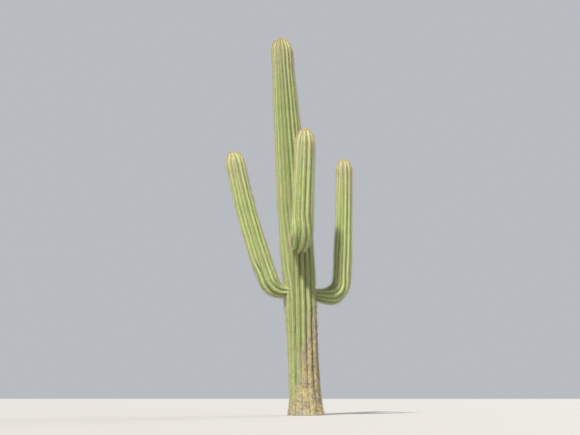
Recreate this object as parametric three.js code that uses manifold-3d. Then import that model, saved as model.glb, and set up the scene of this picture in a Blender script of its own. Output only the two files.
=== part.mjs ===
// Saguaro cactus rooted in level ground: a fluted trunk that leans, and three arms that leave it
// through narrow necks, sweep out and turn up beside it.
// Millimetres, +Z up. The origin is the middle of the flat cut under the trunk, at ground level.
// The left arm leaves towards -X, the right arm towards +X and the front arm towards -Y.

import * as THREE from "three";
import Module from "manifold-3d";

const wasm = await Module();
wasm.setup();

// Trunk. A ridge radius is the distance from the axis to the crest of a rib.
const HEIGHT = 6600;
const LEAN_DEG = 3.5; // towards -X
const SWAY = 22; // how far the axis wanders off its straight lean
const SWAY_WAVES = 1.5; // half waves of that wandering, from the ground to the tip
const TRUNK_GIRTH = [
  // [height, ridge radius]: root flare, waist, belly and the slimmer young growth on top
  [0, 318],
  [110, 294],
  [380, 270],
  [1000, 260],
  [2000, 274],
  [3000, 283],
  [4000, 266],
  [5000, 228],
  [5800, 198],
  [6600, 182],
];
const TRUNK_RIBS = 18;
const TRUNK_LATE_RIBS = { 2: 650, 7: 1250, 11: 1900, 15: 2600 }; // rib number: height at which it starts
const TRUNK_RIB_SPREAD = 780; // length over which a late rib fills out
const TRUNK_TWIST_DEG = 9; // of the ribs, from the ground to the tip
const TRUNK_DOME = 260; // height of the rounded tip
const BARK_TOP = 1100; // the grooves fill with bark below this height
const BARK_GROOVE = 0.22; // share of a groove's depth that is left at the ground

// Arms. Distances along an arm start on the trunk's axis, angles are in degrees.
const ARMS = {
  left: {
    leaves: 2090, // height on the trunk's axis
    towards: 195, // direction in plan, counted from +X towards +Y
    droop: 5, // below level, where it leaves
    run: 250, // before the bend
    bendRadius: 300, // of the axis
    riseTilt: 20, // off vertical after the bend
    riseTowards: 188,
    tipTilt: 11, // off vertical at the tip
    rise: 2280, // from the bend to the tip
    radius: 176,
  },
  right: {
    leaves: 2050,
    towards: 20,
    droop: 6,
    run: 420,
    bendRadius: 340,
    riseTilt: 3,
    riseTowards: 20,
    tipTilt: 0,
    rise: 2120,
    radius: 156,
  },
  front: {
    leaves: 2870,
    towards: 277,
    droop: 8,
    run: 335,
    bendRadius: 330,
    riseTilt: 6,
    riseTowards: 290,
    tipTilt: 4,
    rise: 1600,
    radius: 180,
  },
};
const ARM_RIBS = 12;
const ARM_LATE_RIBS = { 3: 400, 7: 520, 10: 660 }; // rib number: distance along the arm at which it starts
const ARM_RIB_SPREAD = 430;
const NECK_SHARE = 0.62; // of the full radius, where an arm leaves the trunk
const NECK_START = 250; // distance along an arm at which the neck begins to swell
const NECK_SWELL = 400; // length over which it fills out
const ARM_TAPER = 0.12; // share of the radius lost between the bend and the tip
const DOME_SHARE = 1.35; // length of an arm's rounded tip, in radii
const ARM_TWIST_DEG = 10; // of the ribs, from the trunk to the tip

// Ribs
const GROOVE_SHARE = 0.155; // depth of a groove as a share of the ridge radius
const CREST_POWER = 0.7; // below 1 makes crests broad and grooves sharp
const CREASE = 0.14; // share of its width and height that a late rib has before it starts
const POINTS_PER_RIB = 4; // groove, flank, crest, flank

// Fineness and clearance
const FLARE_RINGS = [0, 110, 240, 420]; // heights of the rings in the root flare
const TRUNK_STEP = 260;
const BEND_STEP = 80;
const RISE_STEP = 220;
const DOME_STEPS = 6;
const DOME_LAST = 0.94; // share of a quarter turn at the last ring before the apex
const AXIS_STEP = 5; // of the sum that lays out an arm's axis
const ROOT_GAP = 0.4; // radial, between an arm's root and the trunk: about 0.3 square to a groove's wall
const JOINT_GAP = 0.3; // between the two halves of an arm

const UP = new THREE.Vector3(0, 0, 1);
const radians = THREE.MathUtils.degToRad;
const { lerp, clamp, smoothstep } = THREE.MathUtils;

// A smooth curve through stations of [distance, value], read at one distance.
function through(stations, at) {
  const slope = (i) => {
    const before = stations[Math.max(i - 1, 0)];
    const after = stations[Math.min(i + 1, stations.length - 1)];
    return (after[1] - before[1]) / (after[0] - before[0]);
  };
  let i = 0;
  while (i < stations.length - 2 && at > stations[i + 1][0]) i++;
  const [from, to] = [stations[i], stations[i + 1]];
  const span = to[0] - from[0];
  const t = clamp((at - from[0]) / span, 0, 1);
  const [t2, t3] = [t * t, t * t * t];
  return (
    (2 * t3 - 3 * t2 + 1) * from[1] +
    (t3 - 2 * t2 + t) * span * slope(i) +
    (3 * t2 - 2 * t3) * to[1] +
    (t3 - t2) * span * slope(i + 1)
  );
}

// How much of the radius is left this far along a stem that ends in a round dome.
function domeShare(along, length, dome) {
  const into = clamp((along - (length - dome)) / dome, 0, 1);
  return Math.sqrt(1 - into * into);
}

// Distances of the rings in a dome, closer together towards the apex.
function domeRings(length, dome) {
  return Array.from({ length: DOME_STEPS }, (_, i) => {
    const turn = (Math.PI / 2) * DOME_LAST * ((i + 1) / DOME_STEPS);
    return length - dome + dome * Math.sin(turn);
  });
}

// Even distances between two ends, both included, no further apart than the step.
function spaced(from, to, step) {
  const gaps = Math.ceil((to - from) / step);
  return Array.from({ length: gaps + 1 }, (_, i) => lerp(from, to, i / gaps));
}

// A unit vector from its direction in plan and its tilt off vertical.
function heading(towardsDeg, tiltDeg) {
  const out = new THREE.Vector3(Math.cos(radians(towardsDeg)), Math.sin(radians(towardsDeg)), 0);
  return out.multiplyScalar(Math.sin(radians(tiltDeg))).addScaledVector(UP, Math.cos(radians(tiltDeg)));
}

// The trunk's axis at one height: a straight lean with a gentle wander, level rings all the way up.
function trunkAxis(height) {
  const wander = SWAY * Math.sin((height / HEIGHT) * SWAY_WAVES * Math.PI);
  return new THREE.Vector3(-height * Math.tan(radians(LEAN_DEG)) + wander, -wander, height);
}

function trunkRing(height) {
  const ridge = through(TRUNK_GIRTH, height) * domeShare(height, HEIGHT, TRUNK_DOME);
  const clean = lerp(BARK_GROOVE, 1, smoothstep(height, 0, BARK_TOP));
  return {
    centre: trunkAxis(height),
    side: new THREE.Vector3(1, 0, 0),
    normal: new THREE.Vector3(0, 1, 0),
    along: height,
    ridge,
    groove: ridge * GROOVE_SHARE * clean,
  };
}

// An arm's axis as a list of places, each with its direction and two crossways vectors.
function armAxis(arm) {
  const out = heading(arm.towards, 90 + arm.droop);
  const rise = heading(arm.riseTowards, arm.riseTilt);
  const tip = heading(arm.riseTowards, arm.tipTilt);
  const bend = arm.bendRadius * out.angleTo(rise);
  const length = arm.run + bend + arm.rise;
  const centre = trunkAxis(arm.leaves);
  const side = new THREE.Vector3().crossVectors(UP, out).normalize();
  const places = [];
  for (let along = 0; along <= length; along += AXIS_STEP) {
    const turned = clamp((along - arm.run) / bend, 0, 1);
    const straightened = clamp((along - arm.run - bend) / arm.rise, 0, 1);
    const direction = out.clone().lerp(rise, turned).normalize().lerp(tip, straightened).normalize();
    side.addScaledVector(direction, -side.dot(direction)).normalize();
    const normal = new THREE.Vector3().crossVectors(direction, side);
    places.push({ centre: centre.clone(), side: side.clone(), normal, direction });
    centre.addScaledVector(direction, AXIS_STEP);
  }
  return { places, length, bendEnd: arm.run + bend, split: arm.run + bend / 2 };
}

function armRing(arm, axis, along) {
  const step = Math.min(Math.floor(along / AXIS_STEP), axis.places.length - 1);
  const place = axis.places[step];
  const beyond = along - step * AXIS_STEP;
  const swollen = lerp(NECK_SHARE, 1, smoothstep(along, NECK_START, NECK_START + NECK_SWELL));
  const tapered = 1 - ARM_TAPER * clamp((along - axis.bendEnd) / arm.rise, 0, 1);
  const dome = domeShare(along, axis.length, arm.radius * DOME_SHARE);
  const ridge = arm.radius * swollen * tapered * dome;
  return {
    centre: place.centre.clone().addScaledVector(place.direction, beyond),
    side: place.side,
    normal: place.normal,
    along,
    ridge,
    groove: ridge * GROOVE_SHARE,
  };
}

// How much of its full width and height a rib has at this distance.
function ribShare(stem, rib, along) {
  if (!(rib in stem.lateRibs)) return 1;
  const starts = stem.lateRibs[rib];
  return lerp(CREASE, 1, smoothstep(along, starts, starts + stem.ribSpread));
}

// The points round one ring, rib by rib, from groove to groove.
function ringPoints(stem, ring) {
  const shares = Array.from({ length: stem.ribs }, (_, rib) => ribShare(stem, rib, ring.along));
  const turn = (2 * Math.PI) / shares.reduce((sum, share) => sum + share);
  let start = radians(stem.twist) * (ring.along / stem.length);
  const points = [];
  for (const share of shares) {
    for (let i = 0; i < POINTS_PER_RIB; i++) {
      const across = i / POINTS_PER_RIB;
      const angle = start + across * share * turn;
      const raised = share * Math.sin(Math.PI * across) ** CREST_POWER;
      const radius = ring.ridge - ring.groove * (1 - raised) + stem.grown;
      points.push(
        ring.centre
          .clone()
          .addScaledVector(ring.side, radius * Math.cos(angle))
          .addScaledVector(ring.normal, radius * Math.sin(angle)),
      );
    }
    start += share * turn;
  }
  return points;
}

// A closed fluted body: rings joined by quads, with a fan on each end. The last fan meets at the apex
// if there is one.
function flutedBody(stem, rings, apex) {
  const count = stem.ribs * POINTS_PER_RIB;
  const points = rings.flatMap((ring) => ringPoints(stem, ring));
  const foot = points.push(rings[0].centre) - 1;
  const head = points.push(apex ?? rings.at(-1).centre) - 1;
  const lastRing = (rings.length - 1) * count;
  const faces = [];
  for (let i = 0; i < count; i++) {
    const next = (i + 1) % count;
    faces.push(foot, next, i, head, lastRing + i, lastRing + next);
    for (let ring = 0; ring < lastRing; ring += count) {
      faces.push(ring + i, ring + next, ring + count + next);
      faces.push(ring + i, ring + count + next, ring + count + i);
    }
  }
  return new THREE.BufferGeometry().setFromPoints(points).setIndex(faces);
}

function trunkBody(grown) {
  const stem = {
    ribs: TRUNK_RIBS,
    lateRibs: TRUNK_LATE_RIBS,
    ribSpread: TRUNK_RIB_SPREAD,
    twist: TRUNK_TWIST_DEG,
    length: HEIGHT,
    grown,
  };
  const heights = [
    ...FLARE_RINGS.slice(0, -1),
    ...spaced(FLARE_RINGS.at(-1), HEIGHT - TRUNK_DOME, TRUNK_STEP),
    ...domeRings(HEIGHT, TRUNK_DOME),
  ];
  return flutedBody(stem, heights.map(trunkRing), trunkAxis(HEIGHT + grown));
}

function armStem(axis) {
  return {
    ribs: ARM_RIBS,
    lateRibs: ARM_LATE_RIBS,
    ribSpread: ARM_RIB_SPREAD,
    twist: ARM_TWIST_DEG,
    length: axis.length,
    grown: 0,
  };
}

// The half of an arm from the trunk to the middle of its bend, cut to the trunk's grooves.
function elbowBody(arm) {
  const axis = armAxis(arm);
  const distances = spaced(0, axis.split - JOINT_GAP / 2, BEND_STEP);
  const rings = distances.map((along) => armRing(arm, axis, along));
  return cutAway(flutedBody(armStem(axis), rings), trunkBody(ROOT_GAP));
}

// The half of an arm from the middle of its bend to its tip.
function uprightBody(arm) {
  const axis = armAxis(arm);
  const dome = arm.radius * DOME_SHARE;
  const distances = [
    ...spaced(axis.split + JOINT_GAP / 2, axis.bendEnd, BEND_STEP),
    ...spaced(axis.bendEnd, axis.length - dome, RISE_STEP).slice(1),
    ...domeRings(axis.length, dome),
  ];
  const rings = distances.map((along) => armRing(arm, axis, along));
  return flutedBody(armStem(axis), rings, armRing(arm, axis, axis.length).centre);
}

function solidOf(geometry) {
  return new wasm.Manifold(
    new wasm.Mesh({
      numProp: 3,
      vertProperties: new Float32Array(geometry.attributes.position.array),
      triVerts: new Uint32Array(geometry.index.array),
    }),
  );
}

function cutAway(geometry, cutter) {
  const left = solidOf(geometry).subtract(solidOf(cutter)).getMesh();
  return new THREE.BufferGeometry()
    .setAttribute("position", new THREE.BufferAttribute(left.vertProperties, left.numProp))
    .setIndex(new THREE.BufferAttribute(left.triVerts, 1));
}

function named(name, geometry, color) {
  geometry.computeVertexNormals();
  const skin = new THREE.MeshStandardMaterial({ color, roughness: 0.62, metalness: 0 });
  const mesh = new THREE.Mesh(geometry, skin);
  mesh.name = name;
  return mesh;
}

const TRUNK_COLOUR = 0x8c9361;
const ARM_COLOUR = 0x8f9d66;

const saguaro = new THREE.Group();
saguaro.add(named("trunk", trunkBody(0), TRUNK_COLOUR));
for (const [place, arm] of Object.entries(ARMS)) {
  saguaro.add(named(`${place}_arm_elbow`, elbowBody(arm), ARM_COLOUR));
  saguaro.add(named(`${place}_arm_upright`, uprightBody(arm), ARM_COLOUR));
}

export default saguaro;
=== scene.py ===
"""Saguaro cactus: the fluted skins, cork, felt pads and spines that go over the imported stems.

Metres, +Z up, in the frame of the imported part: the origin is the middle of the flat cut at ground
level, and the side that the photograph shows faces -Y.
"""

import math
from types import SimpleNamespace

import bpy
import numpy as np
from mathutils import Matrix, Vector


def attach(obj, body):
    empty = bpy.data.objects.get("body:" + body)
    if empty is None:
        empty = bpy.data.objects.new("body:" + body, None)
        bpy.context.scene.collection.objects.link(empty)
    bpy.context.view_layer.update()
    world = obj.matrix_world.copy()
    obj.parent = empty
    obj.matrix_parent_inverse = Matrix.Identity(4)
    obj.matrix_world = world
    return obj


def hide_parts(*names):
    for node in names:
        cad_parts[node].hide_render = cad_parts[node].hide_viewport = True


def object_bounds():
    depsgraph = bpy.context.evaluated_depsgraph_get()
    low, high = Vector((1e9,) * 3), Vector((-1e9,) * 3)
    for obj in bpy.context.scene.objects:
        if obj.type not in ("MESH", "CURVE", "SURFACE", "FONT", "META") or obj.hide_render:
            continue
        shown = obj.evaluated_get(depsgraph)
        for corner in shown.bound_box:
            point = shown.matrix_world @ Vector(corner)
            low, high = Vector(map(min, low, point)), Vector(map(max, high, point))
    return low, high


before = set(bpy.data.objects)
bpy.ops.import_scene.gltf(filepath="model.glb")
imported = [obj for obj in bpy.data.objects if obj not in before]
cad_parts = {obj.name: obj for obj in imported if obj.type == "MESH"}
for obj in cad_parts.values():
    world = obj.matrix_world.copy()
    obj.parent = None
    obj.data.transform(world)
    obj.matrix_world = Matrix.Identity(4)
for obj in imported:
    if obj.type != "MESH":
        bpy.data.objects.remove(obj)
cad_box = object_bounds()

FULL_TURN = 2 * math.pi
LEVEL = 90  # degrees off vertical

# Trunk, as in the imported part. A ridge radius is the distance from the axis to the crest of a rib.
HEIGHT = 6.6
LEAN = math.radians(3.5)  # towards -X
SWAY = 0.022
SWAY_WAVES = 1.5
TRUNK_GIRTH = [  # height and ridge radius
    (0, 0.318),
    (0.11, 0.294),
    (0.38, 0.270),
    (1.0, 0.260),
    (2.0, 0.274),
    (3.0, 0.283),
    (4.0, 0.266),
    (5.0, 0.228),
    (5.8, 0.198),
    (6.6, 0.182),
]
TRUNK_RIBS = 18
TRUNK_LATE_RIBS = {2: 0.65, 7: 1.25, 11: 1.9, 15: 2.6}  # rib number: height at which it starts
TRUNK_RIB_SPREAD = 0.78
TRUNK_TWIST = math.radians(9)
TRUNK_DOME = 0.26
BARK_TOP = 1.1  # height below which the grooves grow shallow
BARK_GROOVE = 0.22  # share of their depth that is left at the ground

# Arms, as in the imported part. Distances along an arm start on the trunk's axis. Directions in plan count
# from +X towards +Y, tilts from straight up and droop from level, all in degrees.
ARMS = {
    "left": dict(
        leaves=2.09,
        towards=195,
        droop=5,
        run=0.25,
        bend_radius=0.30,
        rise_tilt=20,
        rise_towards=188,
        tip_tilt=11,
        rise=2.28,
        radius=0.176,
    ),
    "right": dict(
        leaves=2.05,
        towards=20,
        droop=6,
        run=0.42,
        bend_radius=0.34,
        rise_tilt=3,
        rise_towards=20,
        tip_tilt=0,
        rise=2.12,
        radius=0.156,
    ),
    "front": dict(
        leaves=2.87,
        towards=277,
        droop=8,
        run=0.335,
        bend_radius=0.33,
        rise_tilt=6,
        rise_towards=290,
        tip_tilt=4,
        rise=1.60,
        radius=0.180,
    ),
}
ARM_RIBS = 12
ARM_LATE_RIBS = {3: 0.40, 7: 0.52, 10: 0.66}
ARM_RIB_SPREAD = 0.43
NECK_SHARE = 0.62
NECK_START = 0.25
NECK_SWELL = 0.40
ARM_TAPER = 0.12
DOME_SHARE = 1.35
ARM_TWIST = math.radians(10)

# Ribs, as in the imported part, but for grooves that are a little deeper
GROOVE_SHARE = 0.185
CREST_POWER = 0.7
CREASE = 0.14  # of a rib's full size, below its start

# Steps along a stem, for laying out its axis and for counting its areoles
AXIS_STEP = 0.005
COUNT_STEP = 0.001

# Seeds of all that is uneven on a stem
SEEDS = {"trunk": 11, "left": 21, "right": 31, "front": 41}

# Reach and fineness of the skins
ARM_SKIN_START = 0.12  # well inside the trunk
ACROSS = (0, 0.12, 0.26, 0.40, 0.5, 0.60, 0.74, 0.88)  # places across a rib, from groove to groove
ON_CREST = 0.5
TRUNK_ROW = 0.0101
ARM_ROW = 0.0088
DOME_LAST = 0.985  # share of a quarter turn at the last row before the apex
MAP_SPAN = (0.02, 0.98)  # share of the skin's map that its rows take, between the fans at its ends

# Relief of the skins
BUMP = 0.0035  # of the crest at each areole
WANDER = 0.0045  # unevenness of each rib
SEASON = 0.004  # swelling and shrinking from one season's growth to the next
CORK_LUMP = 0.007
CORK_GRAIN = 0.0045

# Cork, all round the trunk's foot and further up one side
CORK_SIDE = math.radians(-20)  # counted from +X towards +Y
CORK_LOW = 0.20  # height that it reaches all round
CORK_EXTRA = 1.65  # how much further it reaches up the corky side
CORK_RAGGED = 0.35  # unevenness of its edge
CORK_RAGGED_FINE = 0.5  # share of that which the finer noise adds
CORK_FADE = 0.60  # half the height over which green skin takes its place

# Noise over a stem: its cells round the stem, a cell's length along it and a number that sets it apart
SALT_STEP = 1000  # between the numbers of two stems
EDGE_BROAD = dict(cells=9, cell_length=0.45, salt=1)
EDGE_FINE = dict(cells=22, cell_length=0.16, salt=2)
WANDER_NOISE = dict(cell_length=0.30, salt=3)
WANDER_CELLS = 2  # to each rib
SEASON_NOISE = dict(cells=1, cell_length=0.20, salt=4)
LUMP_NOISE = dict(cells=30, cell_length=0.07, salt=5)
GRAIN_NOISE = dict(cells=72, cell_length=0.022, salt=6)

# Age, which crowds the areoles and colours the skin
YOUNG_LENGTH = 0.55  # of the youngest growth, at the tip
YOUNG_SKIN = 2 * YOUNG_LENGTH  # where the skin's colour is turning to that of the tip
TRUNK_WEAR = 0.4  # of the oldest skin, from 0 to 1
ARM_WEAR = 0.35
WORN_REACH = 0.75  # share of a stem's length that shows wear
APEX_CREST = 0.6  # where the ribs meet at the tip, between groove (0) and crest (1)

# Areoles
TRUNK_GAP = 0.040  # along a rib
ARM_GAP = 0.036
YOUNG_GAP = 0.45  # share of the gap at the tip
BARE_FOOT = 0.06  # height above the ground that has none
GROWN_RIB = 0.5  # share of its full size from which a rib carries them
LEAST_CREST_GAP = 0.006  # between neighbouring ribs, near the apex
CORK_BARE = 0.86  # share that full cork has lost
ARM_ROOT = 0.5  # first stretch of an arm, which can hide the trunk's areoles
ARM_ROOT_MARGIN = 0.012
TRUNK_MARGIN = 0.004
FEEL_ALONG = 0.02  # how far up and down from an areole the skin's direction is taken
FEEL_ACROSS = 0.1  # and how far to its sides, as a share of the rib
TIP_CLEAR = 0.001  # left below the very tip

# Felt pads
PAD_WIDTH = 0.0058  # half of it
PAD_HEIGHT = 0.0075
PAD_RISE = 0.0035
PAD_SIDES = 6
PAD_RINGS = ((1.0, -0.0015), (0.72, 0.75 * PAD_RISE))  # share of the width, and height over the skin
PAD_SPREAD = (0.85, 1.2)  # smallest and largest
PAD_YOUNG = 1.35  # size at the tip
PAD_SEEDS = {"trunk": 101, "arm": 201}

# Spines. Length runs from the shortest to the longest, and young_length is its share at the stem's tip.
# Thick is the radius at the root, and tip_thick and foot_thick are its shares at the stem's tip and foot.
# Scatter is the unevenness of the star in radians. Lift is the least and the greatest angle off the skin in
# degrees, and young_lift is added to it at the tip, in radians. Spines lean up by young_lean at the tip and
# down by old_droop elsewhere.
SPINE_KINDS = {
    "radial": dict(
        count=20,
        length=(0.016, 0.028),
        young_length=1.0,
        thick=0.00075,
        tip_thick=1.0,
        foot_thick=1.0,
        scatter=0.12,
        lift=(8, 34),
        young_lift=0.35,
        young_lean=0.0,
        old_droop=0.0,
        central=0,
    ),
    "central": dict(
        count=7,
        length=(0.028, 0.045),
        young_length=0.85,
        thick=0.00115,
        tip_thick=0.8,
        foot_thick=1.15,
        scatter=0.3,
        lift=(38, 78),
        young_lift=0.0,
        young_lean=0.5,
        old_droop=0.18,
        central=1,
    ),
}
SPINE_SIDES = 3
SPINE_ROOT_RISE = 0.0008
SPINE_ROOT_OUT = 0.45 * PAD_WIDTH
NEARLY_UPRIGHT = 0.8  # rise of a direction from which its sides are squared against X and not Z

# Cushions of wool at the tips
CROWN_RINGS = 9
CROWN_SIDES = 28
CROWN_SHARE = 0.20  # of the stem's radius below its dome
CROWN_RISE = 0.30  # of the cushion's own radius, as the next ones are
CROWN_DROOP = 0.26  # of its rim
CROWN_TUFTS = 0.10  # unevenness of its height
CROWN_RAGGED = 0.05  # unevenness of its outline
CROWN_EDGE = 0.985  # share of the cushion's dome that its rings cover
CROWN_SINK = 0.004
CROWN_SEED = 70  # added to the stem's

# Camera
CAMERA_AWAY = 16.0
CAMERA_HEIGHT = 0.3
CAMERA_LENS = 62.0
CAMERA_SENSOR = 36.0
CAMERA_CLIP = 500.0
AIM_SHARE = 0.5  # of the plant's height

# Studio. Directions are in degrees: in plan from +X towards +Y, and tilts from straight up.
FLOOR_REACH = 150.0
FLOOR_ROUGHNESS = 0.9
KEY_SUN = dict(strength=6.1, softness=4.0, towards=244, tilt=37, tint=(1.0, 0.965, 0.88))
FILL_SUN = dict(strength=2.1, softness=40.0, towards=45, tilt=58, tint=(0.98, 0.98, 1.0))
ROOM_STRENGTH = 0.58


def smoothstep(at, low, high):
    t = np.clip((at - low) / (high - low), 0, 1)
    return t * t * (3 - 2 * t)


def lerp(a, b, t):
    return a + (b - a) * t


def unit(vectors):
    return vectors / np.linalg.norm(vectors, axis=-1, keepdims=True)


def through(stations, at):
    """A smooth curve through stations of (distance, value), read at an array of distances."""
    x, y = np.array(stations, float).T
    order = np.arange(len(x))
    before = np.maximum(order - 1, 0)
    after = np.minimum(order + 1, len(x) - 1)
    slope = (y[after] - y[before]) / (x[after] - x[before])
    i = np.clip(np.searchsorted(x, at) - 1, 0, len(x) - 2)
    span = x[i + 1] - x[i]
    t = np.clip((at - x[i]) / span, 0, 1)
    rising = 3 * t**2 - 2 * t**3
    leaving = (t**3 - 2 * t**2 + t) * span * slope[i]
    arriving = (t**3 - t**2) * span * slope[i + 1]
    return (1 - rising) * y[i] + rising * y[i + 1] + leaving + arriving


def heading(towards, tilt):
    """A unit vector from its direction in plan and its tilt off vertical, in degrees."""
    a, t = math.radians(towards), math.radians(tilt)
    return np.array([math.cos(a) * math.sin(t), math.sin(a) * math.sin(t), math.cos(t)])


def dome_share(along, length, dome):
    """Share of its radius that a stem has left on its way over the dome at its tip."""
    into = np.clip((along - (length - dome)) / dome, 0, 1)
    return np.sqrt(1 - into**2)


def areole_count(length, ridge, gap):
    """How many areoles lie below each distance along a rib: they crowd towards the tip."""
    along = np.linspace(0, length, int(length / COUNT_STEP) + 1)
    over_skin = np.hypot(np.diff(along), np.diff(ridge(along)))
    young = smoothstep(along[1:], length - YOUNG_LENGTH, length)
    return along, np.concatenate([[0], np.cumsum(over_skin / (gap * lerp(1, YOUNG_GAP, young)))])


def half_gap(rib):
    """The areoles of every other rib sit half a gap lower."""
    return 0.5 * (rib % 2)


def trunk_axis(height):
    wander = SWAY * np.sin(height / HEIGHT * SWAY_WAVES * math.pi)
    return np.stack([wander - height * math.tan(LEAN), -wander, height], axis=-1)


def trunk_ridge(height):
    return through(TRUNK_GIRTH, height) * dome_share(height, HEIGHT, TRUNK_DOME)


def trunk_stem():
    """All that the skin, the areoles and the crown need to know of the trunk."""
    along = np.arange(0, HEIGHT + AXIS_STEP, AXIS_STEP)
    return SimpleNamespace(
        name="trunk",
        nodes=["trunk"],
        seed=SEEDS["trunk"],
        length=HEIGHT,
        wear=TRUNK_WEAR,
        first=0.0,
        dome=TRUNK_DOME,
        row=TRUNK_ROW,
        along=along,
        centre=trunk_axis(along),
        side=np.tile([1.0, 0, 0], (len(along), 1)),
        normal=np.tile([0, 1.0, 0], (len(along), 1)),
        ridge=trunk_ridge,
        groove_left=lambda at: lerp(BARK_GROOVE, 1, smoothstep(at, 0, BARK_TOP)),
        ribs=TRUNK_RIBS,
        late_ribs=TRUNK_LATE_RIBS,
        rib_spread=TRUNK_RIB_SPREAD,
        twist=TRUNK_TWIST,
        counted=areole_count(HEIGHT, trunk_ridge, TRUNK_GAP),
    )


def arm_stem(name, arm):
    """An arm's axis, laid out in short steps: a straight run, an even bend, then a rise that straightens."""
    out = heading(arm["towards"], LEVEL + arm["droop"])
    rise = heading(arm["rise_towards"], arm["rise_tilt"])
    tip = heading(arm["rise_towards"], arm["tip_tilt"])
    bend = arm["bend_radius"] * math.acos(float(out @ rise))
    bend_end = arm["run"] + bend
    length = bend_end + arm["rise"]
    dome = arm["radius"] * DOME_SHARE
    along = np.arange(0, length + AXIS_STEP, AXIS_STEP)
    turned = np.clip((along - arm["run"]) / bend, 0, 1)[:, None]
    straightened = np.clip((along - bend_end) / arm["rise"], 0, 1)[:, None]
    direction = unit(lerp(unit(lerp(out, rise, turned)), tip, straightened))
    steps = np.vstack([np.zeros(3), direction[:-1] * AXIS_STEP])
    side = [unit(np.cross([0, 0, 1], out))]
    for ahead in direction:
        side.append(unit(side[-1] - (side[-1] @ ahead) * ahead))
    side = np.array(side[1:])

    def ridge(at):
        swollen = lerp(NECK_SHARE, 1, smoothstep(at, NECK_START, NECK_START + NECK_SWELL))
        tapered = 1 - ARM_TAPER * np.clip((at - bend_end) / arm["rise"], 0, 1)
        return arm["radius"] * swollen * tapered * dome_share(at, length, dome)

    return SimpleNamespace(
        name=f"{name}_arm",
        nodes=[f"{name}_arm_elbow", f"{name}_arm_upright"],
        seed=SEEDS[name],
        length=length,
        wear=ARM_WEAR,
        first=ARM_SKIN_START,
        dome=dome,
        row=ARM_ROW,
        along=along,
        centre=trunk_axis(np.array(arm["leaves"])) + np.cumsum(steps, axis=0),
        side=side,
        normal=np.cross(direction, side),
        ridge=ridge,
        groove_left=np.ones_like,
        ribs=ARM_RIBS,
        late_ribs=ARM_LATE_RIBS,
        rib_spread=ARM_RIB_SPREAD,
        twist=ARM_TWIST,
        counted=areole_count(length, ridge, ARM_GAP),
    )


def read(stem, values, along):
    """A vector that goes with the stem's axis, read at distances between its steps."""
    return np.stack([np.interp(along, stem.along, values[:, k]) for k in range(3)], axis=-1)


def wrapped_noise(stem, turns, along, cells, cell_length, salt):
    """Smooth noise from -1 to 1 over a stem, which closes on itself around it. Turns run from 0 to 1."""
    rng = np.random.default_rng(stem.seed * SALT_STEP + salt)
    rows = int(stem.length / cell_length) + 3  # enough for both ends of the last cell
    grid = rng.uniform(-1, 1, (rows, cells))
    x = (turns % 1) * cells
    y = along / cell_length
    column, row = x.astype(int) % cells, y.astype(int)
    fx = smoothstep(x - np.floor(x), 0, 1)
    fy = smoothstep(y - np.floor(y), 0, 1)
    beside = (column + 1) % cells
    lower = lerp(grid[row, column], grid[row, beside], fx)
    upper = lerp(grid[row + 1, column], grid[row + 1, beside], fx)
    return lerp(lower, upper, fy)


def rib_shares(stem, along):
    """How much of its full width and height each rib has, one row for each distance."""
    shares = np.ones((len(along), stem.ribs))
    for rib, start in stem.late_ribs.items():
        shares[:, rib] = lerp(CREASE, 1, smoothstep(along, start, start + stem.rib_spread))
    return shares


def bark_share(stem, angle, along):
    """1 on corky bark, 0 on green skin: the trunk's foot, and further up its corky side."""
    if stem.name != "trunk":
        return np.zeros_like(along)
    turns = angle / FULL_TURN
    faces = (0.5 + 0.5 * np.cos(angle - CORK_SIDE)) ** 2
    ragged = wrapped_noise(stem, turns, along, **EDGE_BROAD)
    ragged += CORK_RAGGED_FINE * wrapped_noise(stem, turns, along, **EDGE_FINE)
    edge = CORK_LOW + CORK_EXTRA * faces + CORK_RAGGED * ragged
    return 1 - smoothstep(along, edge - CORK_FADE, edge + CORK_FADE)


def relief(stem, rib, angle, along, raised):
    """How far the skin stands off the plain fluted form."""
    turns = angle / FULL_TURN
    count = np.interp(along, *stem.counted) + half_gap(rib)
    bump = BUMP * raised**2 * np.cos(FULL_TURN * count)
    wander = WANDER * wrapped_noise(stem, turns, along, stem.ribs * WANDER_CELLS, **WANDER_NOISE)
    season = SEASON * wrapped_noise(stem, turns, along, **SEASON_NOISE)
    lump = CORK_LUMP * wrapped_noise(stem, turns, along, **LUMP_NOISE)
    grain = CORK_GRAIN * wrapped_noise(stem, turns, along, **GRAIN_NOISE)
    bark = bark_share(stem, angle, along)
    left_on_dome = dome_share(along, stem.length, stem.dome)
    return left_on_dome * lerp(bump + wander + season, lump + grain, bark)


def surface(stem, rib, across, along):
    """Places on a stem's skin: the rib, how far across it from groove to groove, and how far along.

    Returns the points, the angle round the axis and how far each is raised from groove (0) to crest (1).
    """
    shares = rib_shares(stem, along)
    turn = FULL_TURN / shares.sum(axis=1)
    starts = np.cumsum(shares, axis=1) - shares
    pick = (np.arange(len(along)), rib)
    angle = stem.twist * along / stem.length + (starts[pick] + across * shares[pick]) * turn
    raised = shares[pick] * np.abs(np.sin(math.pi * across)) ** CREST_POWER
    ridge = stem.ridge(along)
    groove = ridge * GROOVE_SHARE * stem.groove_left(along)
    radius = ridge - groove * (1 - raised) + relief(stem, rib, angle, along, raised)
    crossways = np.cos(angle)[:, None] * read(stem, stem.side, along)
    crossways += np.sin(angle)[:, None] * read(stem, stem.normal, along)
    return read(stem, stem.centre, along) + radius[:, None] * crossways, angle, raised


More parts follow.
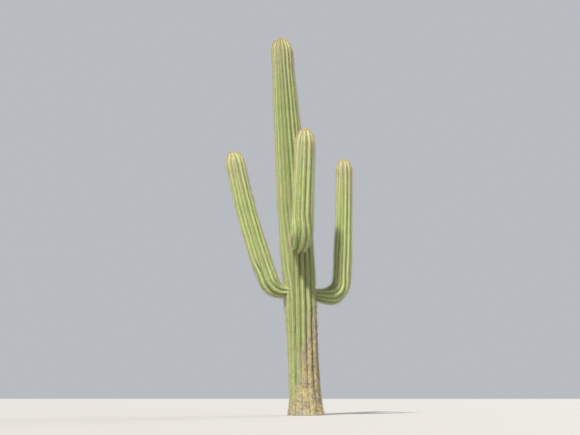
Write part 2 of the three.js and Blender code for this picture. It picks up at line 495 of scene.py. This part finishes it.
def mesh_piece(name, points, faces, materials, material_index=None, smooth=False):
    """A mesh object from arrays. Faces is a list of index arrays, each with its own number of corners."""
    corners = np.concatenate([f.ravel() for f in faces]).astype(np.int32)
    sizes = np.concatenate([np.full(len(f), f.shape[1]) for f in faces])
    mesh = bpy.data.meshes.new(name)
    mesh.vertices.add(len(points))
    mesh.vertices.foreach_set("co", points.astype(np.float32).ravel())
    mesh.loops.add(len(corners))
    mesh.loops.foreach_set("vertex_index", corners)
    mesh.polygons.add(len(sizes))
    mesh.polygons.foreach_set("loop_start", (np.cumsum(sizes) - sizes).astype(np.int32))
    for material in materials:
        mesh.materials.append(material)
    if material_index is not None:
        mesh.polygons.foreach_set("material_index", material_index.astype(np.int32))
    mesh.polygons.foreach_set("use_smooth", np.full(len(sizes), smooth))
    mesh.update(calc_edges=True)
    piece = bpy.data.objects.new(name, mesh)
    bpy.context.scene.collection.objects.link(piece)
    return piece


def ring_quads(rows, columns):
    """Quads between neighbouring rows of points, each row closed on itself."""
    column = np.arange(columns)
    beside = (column + 1) % columns
    start = np.arange(rows - 1)[:, None] * columns
    corners = [start + column, start + beside, start + columns + beside, start + columns + column]
    return np.stack(corners, axis=-1).reshape(-1, 4)


def fan(row, columns, end, foot=False):
    """Triangles from a closed row of points to one point beyond it, or below it at the foot."""
    column = row * columns + np.arange(columns)
    beside = row * columns + (np.arange(columns) + 1) % columns
    edge = [beside, column] if foot else [column, beside]
    return np.stack([*edge, np.full(columns, end)], axis=-1)


def skin_rows(stem):
    """Distances of the skin's rows: even up the stem, then closer together round the dome."""
    top = stem.length - stem.dome
    body = np.linspace(stem.first, top, int((top - stem.first) / stem.row) + 1)
    steps = int(stem.dome * math.pi / 2 / stem.row)
    over_dome = np.linspace(0, math.pi / 2 * DOME_LAST, steps + 1)[1:]
    return np.concatenate([body, top + stem.dome * np.sin(over_dome)])


def unrolled(rows, columns):
    """The skin's map, corner by corner: round along U and up along V, then the fans at its foot and apex."""
    left = np.arange(columns) / columns
    right = (np.arange(columns) + 1) / columns
    level = lerp(*MAP_SPAN, np.linspace(0, 1, rows))
    quad_u = np.broadcast_to(np.stack([left, right, right, left], axis=-1), (rows - 1, columns, 4))
    quad_v = np.stack([level[:-1], level[:-1], level[1:], level[1:]], axis=-1)
    quad_v = np.broadcast_to(quad_v[:, None, :], quad_u.shape)
    maps = [np.stack([quad_u, quad_v], axis=-1).reshape(-1, 2)]
    for first, second, at, end in ((right, left, level[0], 0.0), (left, right, level[-1], 1.0)):
        fan_u = np.stack([first, second, (left + right) / 2], axis=-1)
        fan_v = np.tile([at, at, end], (columns, 1))
        maps.append(np.stack([fan_u, fan_v], axis=-1).reshape(-1, 2))
    return np.vstack(maps)


def skin_masks(stem, angle, raised, along):
    """What the skin's material reads at each point, the middle of its foot and its apex coming last."""
    young = smoothstep(along, stem.length - YOUNG_SKIN, stem.length)
    old = stem.wear * (1 - smoothstep(along, 0, stem.length * WORN_REACH))
    return {
        "crest": np.concatenate([raised, [0.0, APEX_CREST]]),
        "bark": np.concatenate([bark_share(stem, angle, along), [stem.wear, 0.0]]),
        "young": np.concatenate([young, [0.0, 1.0]]),
        "old": np.concatenate([old, [stem.wear, 0.0]]),
    }


def skin_piece(stem, material):
    """One closed skin over a stem, with its map and the masks that its material reads."""
    rows = skin_rows(stem)
    columns = stem.ribs * len(ACROSS)
    rib = np.tile(np.repeat(np.arange(stem.ribs), len(ACROSS)), len(rows))
    across = np.tile(ACROSS, stem.ribs * len(rows))
    along = np.repeat(rows, columns)
    points, angle, raised = surface(stem, rib, across, along)
    foot = read(stem, stem.centre, rows[:1])
    apex = read(stem, stem.centre, np.array([stem.length]))
    points = np.vstack([points, foot, apex])
    faces = [
        ring_quads(len(rows), columns),
        fan(0, columns, len(points) - 2, foot=True),
        fan(len(rows) - 1, columns, len(points) - 1),
    ]
    piece = mesh_piece(f"{stem.name}_skin", points, faces, [material], smooth=True)
    layer = piece.data.uv_layers.new(name="OFBake")
    layer.data.foreach_set("uv", unrolled(len(rows), columns).astype(np.float32).ravel())
    for name, values in skin_masks(stem, angle, raised, along).items():
        attribute = piece.data.attributes.new(name, "FLOAT", "POINT")
        attribute.data.foreach_set("value", values.astype(np.float32))
    return piece


def clear_of(points, stem, reach, margin):
    """Which points lie outside a stem, looking only at its first stretch."""
    near = stem.along < reach
    centres = stem.centre[near]
    radii = stem.ridge(stem.along[near]) + margin
    distance = np.linalg.norm(points[:, None, :] - centres[None], axis=2)
    return np.all(distance > radii[None], axis=1)


def areole_places(stem):
    """The rib and the distance along it of each areole that a stem could carry."""
    distances, counts = stem.counted
    numbers = np.arange(math.ceil(np.interp(stem.first, distances, counts)) + 1, int(counts[-1]))
    rib = np.repeat(np.arange(stem.ribs), len(numbers))
    return rib, np.interp(np.tile(numbers, stem.ribs) - half_gap(rib), counts, distances)


def skin_directions(stem, rib, along):
    """Unit vectors up a rib's crest, across it and out of the skin."""
    crest = np.full(len(along), ON_CREST)
    ahead = surface(stem, rib, crest, np.minimum(along + FEEL_ALONG, stem.length - TIP_CLEAR))[0]
    behind = surface(stem, rib, crest, along - FEEL_ALONG)[0]
    left = surface(stem, rib, crest - FEEL_ACROSS, along)[0]
    right = surface(stem, rib, crest + FEEL_ACROSS, along)[0]
    up = unit(ahead - behind)
    out = unit(np.cross(unit(right - left), up))
    return up, np.cross(up, out), out


def areoles(stem, hidden_by):
    """Every areole of a stem: its place, the directions up, across and out of the skin, and its age.

    hidden_by lists the stems that may cover some, each with how far along it to look and a margin.
    """
    rng = np.random.default_rng(stem.seed)
    rib, along = areole_places(stem)
    place, angle, _ = surface(stem, rib, np.full(len(along), ON_CREST), along)
    grown = rib_shares(stem, along)[np.arange(len(along)), rib]
    crest_gap = FULL_TURN * stem.ridge(along) / stem.ribs
    keep = (grown > GROWN_RIB) & (crest_gap > LEAST_CREST_GAP)
    keep &= rng.random(len(along)) > CORK_BARE * bark_share(stem, angle, along)
    keep &= place[:, 2] > BARE_FOOT
    for other, reach, margin in hidden_by:
        keep &= clear_of(place, other, reach, margin)
    rib, along = rib[keep], along[keep]
    up, across, out = skin_directions(stem, rib, along)
    young = smoothstep(along, stem.length - YOUNG_LENGTH, stem.length)
    age = 1 - along / stem.length
    return SimpleNamespace(place=place[keep], up=up, across=across, out=out, young=young, age=age)


def joined(parts):
    """The areoles of several stems as one set."""
    names = vars(parts[0])
    return SimpleNamespace(**{n: np.concatenate([vars(p)[n] for p in parts]) for n in names})


def deal(rng, paints, young, age, central=0):
    """For each spot, the number of one paint, drawn by the shares that the paints have there."""
    shares = []
    for paint in paints.values():
        ageing = young * paint.get("young", 0.0) + age * paint.get("old", 0.0)
        shares.append(paint.get("always", 0.0) + ageing + central * paint.get("central", 0.0))
    edges = np.cumsum(np.stack(shares, axis=1), axis=1)
    drawn = rng.random(len(edges))[:, None] * edges[:, -1:]
    return (drawn > edges).sum(axis=1)


def pads_piece(name, spots, materials, seed):
    """A low felt cushion on each areole."""
    rng = np.random.default_rng(seed)
    count = len(spots.place)
    turns = np.arange(PAD_SIDES) / PAD_SIDES * FULL_TURN
    size = rng.uniform(*PAD_SPREAD, (count, 1, 1)) * lerp(1, PAD_YOUNG, spots.young)[:, None, None]
    rings = []
    for share, rise in PAD_RINGS:
        flat = np.cos(turns)[None, :, None] * spots.across[:, None, :] * PAD_WIDTH * share
        flat = flat + np.sin(turns)[None, :, None] * spots.up[:, None, :] * PAD_HEIGHT * share
        rings.append(spots.place[:, None, :] + flat * size + spots.out[:, None, :] * rise)
    top = spots.place[:, None, :] + spots.out[:, None, :] * PAD_RISE
    points = np.concatenate([*rings, top], axis=1)
    start = (np.arange(count) * points.shape[1])[:, None, None]
    quads = (ring_quads(len(PAD_RINGS), PAD_SIDES) + start).reshape(-1, 4)
    tops = (fan(len(PAD_RINGS) - 1, PAD_SIDES, points.shape[1] - 1) + start).reshape(-1, 3)
    dealt = np.repeat(deal(rng, FELT_PAINTS, spots.young, spots.age), PAD_SIDES)
    dealt = np.concatenate([dealt, dealt])
    return mesh_piece(name, points.reshape(-1, 3), [quads, tops], materials, dealt, smooth=True)


def spine_points(root, direction, length, thick, rng):
    """Slim three-sided points: three corners at the root and one at the tip."""
    helper = np.where(np.abs(direction[:, 2:]) < NEARLY_UPRIGHT, [[0, 0, 1.0]], [[1.0, 0, 0]])
    u = unit(np.cross(direction, helper))
    v = np.cross(direction, u)
    spin = rng.uniform(0, FULL_TURN, len(root))
    corners = []
    for k in range(SPINE_SIDES):
        a = (spin + k * FULL_TURN / SPINE_SIDES)[:, None]
        corners.append(root + thick[:, None] * (np.cos(a) * u + np.sin(a) * v))
    corners.append(root + direction * length[:, None])
    return np.stack(corners, axis=1)


def spines_piece(name, spots, kind, materials, seed):
    """All the spines of one kind on a set of areoles: a flat star of radials, or the stouter centrals."""
    rng = np.random.default_rng(seed)
    shape = SimpleNamespace(**SPINE_KINDS[kind])
    total = len(spots.place) * shape.count

    def spread(values):
        return np.repeat(values, shape.count, axis=0)

    turn = np.tile(np.arange(shape.count) / shape.count * FULL_TURN, len(spots.place))
    turn = turn + spread(rng.uniform(0, FULL_TURN / shape.count, len(spots.place)))
    turn = turn + rng.normal(0, shape.scatter, total)
    young, age = spread(spots.young), spread(spots.age)
    lift = np.radians(rng.uniform(*shape.lift, total)) + young * shape.young_lift
    length = rng.uniform(*shape.length, total) * lerp(1, shape.young_length, young)
    thick = np.full(total, shape.thick) * lerp(shape.tip_thick, shape.foot_thick, age)
    up, across, out = spread(spots.up), spread(spots.across), spread(spots.out)
    flat = np.cos(turn)[:, None] * up + np.sin(turn)[:, None] * across
    lean = (young * shape.young_lean - (1 - young) * shape.old_droop)[:, None] * up
    direction = unit(np.cos(lift)[:, None] * flat + np.sin(lift)[:, None] * out + lean)
    root = spread(spots.place) + out * SPINE_ROOT_RISE + flat * SPINE_ROOT_OUT
    points = spine_points(root, direction, length, thick, rng)
    start = (np.arange(total) * points.shape[1])[:, None, None]
    faces = (fan(0, SPINE_SIDES, SPINE_SIDES) + start).reshape(-1, 3)
    dealt = np.repeat(deal(rng, SPINE_PAINTS, young, age, shape.central), SPINE_SIDES)
    return mesh_piece(name, points.reshape(-1, 3), [faces], materials, dealt)


def crown_piece(stem, material):
    """The cushion of wool at a stem's growing tip, sunk a little into the skin."""
    rng = np.random.default_rng(stem.seed + CROWN_SEED)
    tip = np.array([stem.length])
    radius = float(stem.ridge(tip - stem.dome)[0]) * CROWN_SHARE
    apex, side, normal = (read(stem, values, tip)[0] for values in (stem.centre, stem.side, stem.normal))
    axis = np.cross(side, normal)
    points = []
    for ring in range(CROWN_RINGS):
        out = 1 - ring / CROWN_RINGS
        dome = CROWN_RISE * math.sqrt(1 - (out * CROWN_EDGE) ** 2)
        for k in range(CROWN_SIDES):
            a = FULL_TURN * k / CROWN_SIDES
            tuft = 1 + CROWN_TUFTS * rng.normal() * out
            height = radius * (dome * tuft - CROWN_DROOP * out**2) - CROWN_SINK
            reach = radius * out * (1 + CROWN_RAGGED * rng.normal())
            points.append(apex + reach * (math.cos(a) * side + math.sin(a) * normal) + height * axis)
    points.append(apex + radius * CROWN_RISE * axis)
    faces = [ring_quads(CROWN_RINGS, CROWN_SIDES), fan(CROWN_RINGS - 1, CROWN_SIDES, len(points) - 1)]
    return mesh_piece(f"{stem.name}_crown", np.array(points), faces, [material], smooth=True)


def colour(red, green, blue):
    return (red, green, blue, 1.0)


# Colours of the green skin
# Painted shade: the grooves' darker green stands for the shade that falls in them
GROOVE_SHADE_GREEN = colour(0.105, 0.155, 0.048)
FLANK_GREEN = colour(0.220, 0.296, 0.094)
# Painted highlight: the crests' paler green stands for the light that falls on them
CREST_HIGHLIGHT_GREEN = colour(0.390, 0.450, 0.165)
WARM_GREEN = colour(0.365, 0.360, 0.120)
PALE_GREEN = colour(0.470, 0.505, 0.265)
YOUNG_GREEN = colour(0.435, 0.405, 0.250)
OLD_OLIVE = colour(0.290, 0.275, 0.140)
CORK_GREY = colour(0.300, 0.260, 0.190)
SCAR_BROWN = colour(0.200, 0.140, 0.085)

# Colours of the cork at the foot
# Painted shade: the dark brown laid into the cork's grooves, fissures and cracks
BARK_SHADE = colour(0.095, 0.072, 0.050)
BARK_GREY = colour(0.340, 0.300, 0.205)
BARK_TAN = colour(0.480, 0.400, 0.200)
BARK_BROWN = colour(0.245, 0.185, 0.100)

# Other colours
# Painted shade: the darker brown between the wool's tufts
WOOL_SHADE_BROWN = colour(0.26, 0.19, 0.11)
WOOL_PALE = colour(0.50, 0.40, 0.25)
FLOOR_GREY = colour(0.33, 0.322, 0.31)
ROOM_GREY = colour(0.83, 0.86, 0.91)

# Flat colours that are dealt out. Each has a share: one that it always has, and what is added by youth, by
# age and by being on a central spine.
SPINE_PAINTS = {
    "spine_straw": dict(base=colour(0.64, 0.55, 0.31), always=0.3, young=1.2),
    "spine_tan": dict(base=colour(0.48, 0.39, 0.22), always=0.35, young=0.3),
    "spine_grey": dict(base=colour(0.56, 0.53, 0.43), always=0.25, young=-0.2, old=0.9),
    "spine_brown": dict(base=colour(0.17, 0.12, 0.08), always=0.10, old=0.15, central=0.15),
    "spine_rust": dict(base=colour(0.40, 0.21, 0.10), always=0.02, young=0.5),
}
FELT_PAINTS = {
    "felt_gold": dict(base=colour(0.50, 0.39, 0.22), young=2.0),
    "felt_grey": dict(base=colour(0.36, 0.32, 0.26), always=0.4, old=1.0),
    "felt_brown": dict(base=colour(0.17, 0.13, 0.10), always=0.3, old=0.6),
}
SPINE_ROUGHNESS = 0.55
FELT_ROUGHNESS = 0.95
FELT_SHEEN = 0.4
WOOL_SHEEN = 0.2

# The two skins: the share of a yellower green in their patches, and the brightness of their greens
TRUNK_WARMTH = 0.28
TRUNK_TONE = 0.88
ARM_WARMTH = 0.12
ARM_TONE = 1.14

# Noise in the materials. Its scale is in features to the metre, one for each axis where it is stretched.
NOISE_MIDDLE = 0.5
PATCHES = dict(scale=2.1)
STREAKS = dict(scale=(48.0, 48.0, 4.5), detail=2.0)
SPECKS = dict(scale=85.0, detail=2.0)
SCARS = dict(scale=(9.0, 9.0, 6.0), detail=6.0, roughness=0.62)
MOTTLE = dict(scale=26.0, detail=4.0)
BLOTCHES = dict(scale=(11.0, 11.0, 4.0), detail=4.0, roughness=0.6)
WRINKLES = dict(scale=(22.0, 22.0, 120.0), detail=2.0)
FISSURES = dict(scale=(26.0, 26.0, 5.0), detail=4.0, roughness=0.6)
CRACKS = dict(scale=(9.0, 9.0, 42.0), detail=4.0, roughness=0.65)
CORK_TONES = dict(scale=5.0, detail=5.0, roughness=0.65)
STAINS = dict(scale=9.0, detail=4.0, roughness=0.7)
SPECKLE = dict(scale=95.0, detail=4.0, roughness=0.7)
TUFTS = dict(scale=160.0)

# Where a noise or a mask tells: not at all below the first value, and in full above the second
# Spans of the crest mask where the painted groove shade gives way to flank green, and where the painted
# crest highlight comes in
FLANK_SPAN = (0.05, 0.60)
CREST_SPAN = (0.60, 1.0)
PATCH_SPAN = (0.36, 0.66)
WAX_SPAN = (0.48, 0.74)
DUSK_SPAN = (0.50, 0.70)
RUBBED_SPAN = (1.12, 1.30)
SPECK_SPAN = (0.63, 0.72)
SCAR_SPAN = (0.64, 0.70)
FISSURE_SPAN = (0.0, 0.05)
CRACK_SPAN = (0.0, 0.06)
CORK_TONE_SPAN = (0.36, 0.64)
STAIN_SPAN = (0.52, 0.72)
CORK_FLANK_SPAN = (0.0, 0.5)
TUFT_SPAN = (0.36, 0.66)

# How much of a layer's colour or height is mixed in
WAX_SHARE = 0.40
YOUNG_SHARE = 0.55
DUSK_SHARE = 0.45
OLIVE_SHARE = 0.62
OLIVE_PATCHES = 0.5
OLIVE_STREAKS = 0.6
RUBBED_MOTTLE = 0.5
SPECK_SHARE = 0.55
SCAR_SHARE = 0.75
CRACK_DEPTH = 0.6  # against the fissures' 1
STAIN_SHARE = 0.7
# Shares of the painted shade in the cork's grooves, and in its fissures and cracks
CORK_GROOVE_SHADE_SHARE = 0.45
CORK_GAP_SHADE_SHARE = 0.6
SPECKLE_HEIGHT = 0.9
CORK_MOTTLE_HEIGHT = 0.8
WRINKLE_HEIGHT = 0.6
SKIN_MOTTLE_HEIGHT = 0.6

# The border of the cork, which the noises and the ribs shift, and the skin turning olive beside it
BORDER_BLOTCHES = 1.5
BORDER_MOTTLE = 0.7
BORDER_CRESTS = 0.22
BORDER_CREST_MIDDLE = 0.6
CORK_SPAN = (0.36, 0.66)
CORK_WITHIN = (0.02, 0.25)
TURNING_SPAN = (0.05, 0.50)
TURNING_WITHIN = (0.0, 0.2)
TURNING_SHARE = 0.75

# Gloss and bump
WAX_ROUGHNESS = 0.44
WAX_ROUGHNESS_MOTTLE = 0.22
CORK_ROUGHNESS = 0.88
SKIN_SPECULAR = 0.42
BUMP_DISTANCE = 0.004
SKIN_BUMP = 0.7
WOOL_BUMP = 0.9


def add(tree, kind, inputs=None, **settings):
    """A shader node. Inputs are values, or the outputs that feed it, by the socket's name or number."""
    made = tree.nodes.new(kind)
    for name, value in settings.items():
        setattr(made, name, value)
    for name, value in (inputs or {}).items():
        socket = made.inputs[name]
        if isinstance(value, bpy.types.NodeSocket):
            tree.links.new(value, socket)
        else:
            socket.default_value = value
    return made


def arithmetic(tree, operation, first, second=0.0):
    return add(tree, "ShaderNodeMath", {0: first, 1: second}, operation=operation).outputs[0]


def plus(tree, first, second):
    return arithmetic(tree, "ADD", first, second)


def minus(tree, first, second):
    return arithmetic(tree, "SUBTRACT", first, second)


def times(tree, first, second):
    return arithmetic(tree, "MULTIPLY", first, second)


def between(tree, value, span):
    """0 below a span's first value, 1 above its second, smooth in between."""
    made = add(tree, "ShaderNodeMapRange", {"Value": value, "From Min": span[0], "From Max": span[1]})
    made.interpolation_type = "SMOOTHSTEP"
    return made.outputs["Result"]


def away_from_middle(tree, value, span):
    """0 where a noise crosses its middle and 1 away from it, which leaves thin winding lines."""
    return between(tree, arithmetic(tree, "ABSOLUTE", minus(tree, value, NOISE_MIDDLE)), span)


def mixed(tree, share, first, second):
    """Two colours mixed by a share from 0 to 1."""
    return add(tree, "ShaderNodeMix", {0: share, 6: first, 7: second}, data_type="RGBA").outputs[2]


def mixed_number(tree, share, first, second):
    """Two numbers mixed by a share from 0 to 1."""
    return add(tree, "ShaderNodeMix", {0: share, 2: first, 3: second}, data_type="FLOAT").outputs[0]


def laid(tree, base, top, where, share):
    """A colour laid over another by a share, and only where a mask tells."""
    return mixed(tree, times(tree, where, share), base, top)


def mask(tree, name):
    """One of the values that the skin carries at its points."""
    return add(tree, "ShaderNodeAttribute", attribute_name=name).outputs["Fac"]


def noise(tree, coordinates, scale, detail=3.0, roughness=0.55):
    """A noise from 0 to 1, stretched where it is given three scales."""
    if isinstance(scale, tuple):
        stretched = add(tree, "ShaderNodeMapping", {"Vector": coordinates, "Scale": scale})
        coordinates, scale = stretched.outputs["Vector"], 1.0
    inputs = {"Vector": coordinates, "Scale": scale, "Detail": detail, "Roughness": roughness}
    return add(tree, "ShaderNodeTexNoise", inputs).outputs["Fac"]


def new_material(name):
    """A material, its nodes and the shader among them."""
    material = bpy.data.materials.new(name)
    material.use_nodes = True
    return material, material.node_tree, material.node_tree.nodes["Principled BSDF"]


def bumped(tree, shader, height, strength):
    """Fine relief by a height from 0 to about 1."""
    inputs = {"Strength": strength, "Distance": BUMP_DISTANCE, "Height": height}
    bump = add(tree, "ShaderNodeBump", inputs)
    tree.links.new(bump.outputs["Normal"], shader.inputs["Normal"])


def toned(base, tone):
    """A colour made darker or brighter."""
    return colour(*(tone * part for part in base[:3]))


def green_colour(tree, coordinates, crest, mottle, warmth, tone):
    """Living skin: painted shade in the grooves, a painted highlight on the crests, duller and browner where
    it is old.
    """
    greens = (GROOVE_SHADE_GREEN, FLANK_GREEN, CREST_HIGHLIGHT_GREEN, WARM_GREEN, PALE_GREEN)
    groove_shade, on_flank, crest_highlight, warm, pale = (toned(base, tone) for base in greens)
    old = mask(tree, "old")
    patches = between(tree, noise(tree, coordinates, **PATCHES), PATCH_SPAN)
    streaks = noise(tree, coordinates, **STREAKS)
    # Painted shade towards the grooves, then a painted highlight towards the crests
    green = mixed(tree, between(tree, crest, FLANK_SPAN), groove_shade, on_flank)
    green = mixed(tree, between(tree, crest, CREST_SPAN), green, crest_highlight)
    green = laid(tree, green, warm, patches, warmth)
    green = laid(tree, green, pale, between(tree, streaks, WAX_SPAN), WAX_SHARE)
    green = laid(tree, green, YOUNG_GREEN, mask(tree, "young"), YOUNG_SHARE)
    green = laid(tree, green, groove_shade, between(tree, mottle, DUSK_SPAN), DUSK_SHARE)
    worn = plus(tree, times(tree, patches, OLIVE_PATCHES), times(tree, streaks, OLIVE_STREAKS))
    green = laid(tree, green, OLD_OLIVE, worn, times(tree, old, OLIVE_SHARE))
    rubbed = between(tree, plus(tree, crest, times(tree, mottle, RUBBED_MOTTLE)), RUBBED_SPAN)
    green = laid(tree, green, CORK_GREY, rubbed, old)
    specks = between(tree, noise(tree, coordinates, **SPECKS), SPECK_SPAN)
    green = laid(tree, green, SCAR_BROWN, specks, SPECK_SHARE)
    scars = between(tree, noise(tree, coordinates, **SCARS), SCAR_SPAN)
    return laid(tree, green, CORK_GREY, scars, SCAR_SHARE)


def cork_looks(tree, coordinates, crest, mottle):
    """The colour and the height of cork: tan and grey, with upright fissures and level cracks, and painted
    shade in its grooves, fissures and cracks.
    """
    upright = away_from_middle(tree, noise(tree, coordinates, **FISSURES), FISSURE_SPAN)
    level = away_from_middle(tree, noise(tree, coordinates, **CRACKS), CRACK_SPAN)
    solid = times(tree, upright, plus(tree, times(tree, level, CRACK_DEPTH), 1 - CRACK_DEPTH))
    tan = between(tree, noise(tree, coordinates, **CORK_TONES), CORK_TONE_SPAN)
    cork = mixed(tree, tan, BARK_GREY, BARK_TAN)
    stains = between(tree, noise(tree, coordinates, **STAINS), STAIN_SPAN)
    cork = laid(tree, cork, BARK_BROWN, stains, STAIN_SHARE)
    # Painted shade in the grooves
    groove_shade = minus(tree, 1.0, between(tree, crest, CORK_FLANK_SPAN))
    cork = laid(tree, cork, BARK_SHADE, groove_shade, CORK_GROOVE_SHADE_SHARE)
    # Painted shade in the fissures and cracks
    cork = laid(tree, cork, BARK_SHADE, minus(tree, 1.0, solid), CORK_GAP_SHADE_SHARE)
    speckle = noise(tree, coordinates, **SPECKLE)
    height = plus(tree, solid, times(tree, speckle, SPECKLE_HEIGHT))
    return cork, plus(tree, height, times(tree, mottle, CORK_MOTTLE_HEIGHT))


def cork_border(tree, coordinates, crest, mottle):
    """Where cork covers the skin, first along its crests, and where the skin is only turning to it."""
    bark = mask(tree, "bark")
    blotches = noise(tree, coordinates, **BLOTCHES)
    border = bark
    for value, middle, share in (
        (blotches, NOISE_MIDDLE, BORDER_BLOTCHES),
        (mottle, NOISE_MIDDLE, BORDER_MOTTLE),
        (crest, BORDER_CREST_MIDDLE, BORDER_CRESTS),
    ):
        border = plus(tree, border, times(tree, minus(tree, value, middle), share))
    on_cork = times(tree, between(tree, border, CORK_SPAN), between(tree, bark, CORK_WITHIN))
    turning = times(tree, between(tree, border, TURNING_SPAN), between(tree, bark, TURNING_WITHIN))
    return on_cork, turning


def skin_material(name, warmth, tone):
    """Waxy ribbed skin that turns to cork at the foot.

    Warmth is the share of a yellower green in its patches, and tone the brightness of its greens.
    """
    material, tree, shader = new_material(name)
    coordinates = add(tree, "ShaderNodeTexCoord").outputs["Object"]
    crest = mask(tree, "crest")
    mottle = noise(tree, coordinates, **MOTTLE)
    on_cork, turning = cork_border(tree, coordinates, crest, mottle)
    cork, cork_height = cork_looks(tree, coordinates, crest, mottle)
    green = green_colour(tree, coordinates, crest, mottle, warmth, tone)
    green = laid(tree, green, OLD_OLIVE, turning, TURNING_SHARE)
    tree.links.new(mixed(tree, on_cork, green, cork), shader.inputs["Base Color"])

    waxy = plus(tree, WAX_ROUGHNESS, times(tree, mottle, WAX_ROUGHNESS_MOTTLE))
    tree.links.new(mixed_number(tree, on_cork, waxy, CORK_ROUGHNESS), shader.inputs["Roughness"])
    shader.inputs["Specular IOR Level"].default_value = SKIN_SPECULAR

    wrinkles = times(tree, noise(tree, coordinates, **WRINKLES), WRINKLE_HEIGHT)
    skin_height = plus(tree, wrinkles, times(tree, mottle, SKIN_MOTTLE_HEIGHT))
    bumped(tree, shader, mixed_number(tree, on_cork, skin_height, cork_height), SKIN_BUMP)
    return material


def plain_material(name, base, roughness, sheen=0.0):
    """A flat colour, such as those that are dealt out to spines and pads."""
    material, _, shader = new_material(name)
    shader.inputs["Base Color"].default_value = base
    shader.inputs["Roughness"].default_value = roughness
    shader.inputs["Sheen Weight"].default_value = sheen
    return material


def spine_materials():
    return [plain_material(name, paint["base"], SPINE_ROUGHNESS) for name, paint in SPINE_PAINTS.items()]


def felt_materials():
    return [
        plain_material(name, paint["base"], FELT_ROUGHNESS, sheen=FELT_SHEEN)
        for name, paint in FELT_PAINTS.items()
    ]


def wool_material():
    """Soft brown fleece, with painted shade between its tufts."""
    material, tree, shader = new_material("crown_wool")
    coordinates = add(tree, "ShaderNodeTexCoord").outputs["Object"]
    tufts = noise(tree, coordinates, **TUFTS)
    # Painted shade where the tufts are low
    fleece = mixed(tree, between(tree, tufts, TUFT_SPAN), WOOL_SHADE_BROWN, WOOL_PALE)
    tree.links.new(fleece, shader.inputs["Base Color"])
    shader.inputs["Roughness"].default_value = FELT_ROUGHNESS
    shader.inputs["Sheen Weight"].default_value = WOOL_SHEEN
    bumped(tree, shader, tufts, WOOL_BUMP)
    return material


def make_camera():
    """Low and looking up at the plant, as the photograph does."""
    low, high = cad_box
    middle = (low + high) / 2
    camera = bpy.data.objects.new("camera", bpy.data.cameras.new("camera"))
    bpy.context.scene.collection.objects.link(camera)
    camera.data.lens = CAMERA_LENS
    camera.data.sensor_width = CAMERA_SENSOR
    camera.data.clip_end = CAMERA_CLIP
    camera.location = (middle.x, low.y - CAMERA_AWAY, CAMERA_HEIGHT)
    aim = Vector((middle.x, middle.y, high.z * AIM_SHARE)) - camera.location
    camera.rotation_euler = aim.to_track_quat("-Z", "Y").to_euler()
    bpy.context.scene.camera = camera


def make_sun(name, strength, softness, towards, tilt, tint):
    """A sun lamp that shines from a direction in plan and a tilt off vertical, in degrees."""
    lamp = bpy.data.lights.new(name, "SUN")
    lamp.energy = strength
    lamp.angle = math.radians(softness)
    lamp.color = tint
    sun = bpy.data.objects.new(name, lamp)
    sun.rotation_euler = Vector(heading(towards, tilt)).to_track_quat("Z", "Y").to_euler()
    bpy.context.scene.collection.objects.link(sun)


def make_floor():
    """A plain floor that reaches far beyond the plant."""
    reach = FLOOR_REACH
    corners = np.array([(-reach, -reach, 0), (reach, -reach, 0), (reach, reach, 0), (-reach, reach, 0)])
    floor_paint = plain_material("floor_paint", FLOOR_GREY, FLOOR_ROUGHNESS)
    floor = mesh_piece("floor", corners, [np.array([[0, 1, 2, 3]])], [floor_paint])


def make_studio():
    """A plain pale floor under a soft bright room, with a key light from the left of the picture."""
    make_floor()
    make_sun("key", **KEY_SUN)
    make_sun("fill", **FILL_SUN)
    world = bpy.data.worlds.new("room")
    world.use_nodes = True
    room = world.node_tree.nodes["Background"]
    room.inputs["Color"].default_value = ROOM_GREY
    room.inputs["Strength"].default_value = ROOM_STRENGTH
    bpy.context.scene.world = world
    bpy.context.scene.view_settings.view_transform = "Standard"


make_camera()
make_studio()

trunk = trunk_stem()
arms = [arm_stem(name, arm) for name, arm in ARMS.items()]

trunk_paint = skin_material("trunk_green", TRUNK_WARMTH, TRUNK_TONE)
arm_paint = skin_material("arm_green", ARM_WARMTH, ARM_TONE)
wool = wool_material()
for stem in [trunk, *arms]:
    is_trunk = stem is trunk
    skin = skin_piece(stem, trunk_paint if is_trunk else arm_paint)
    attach(skin, "root")
    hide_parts(*stem.nodes)
    crown = crown_piece(stem, wool)
    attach(crown, "root")

trunk_spots = areoles(trunk, [(arm, ARM_ROOT, ARM_ROOT_MARGIN) for arm in arms])
arm_spots = joined([areoles(arm, [(trunk, HEIGHT, TRUNK_MARGIN)]) for arm in arms])
spine_paints = spine_materials()
felt_paints = felt_materials()
for place, spots in (("trunk", trunk_spots), ("arm", arm_spots)):
    seed = PAD_SEEDS[place]
    pads = pads_piece(f"{place}_felt_pads", spots, felt_paints, seed)
    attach(pads, "root")
    for kind in SPINE_KINDS:
        seed += 1
        spines = spines_piece(f"{place}_{kind}_spines", spots, kind, spine_paints, seed)
        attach(spines, "root")
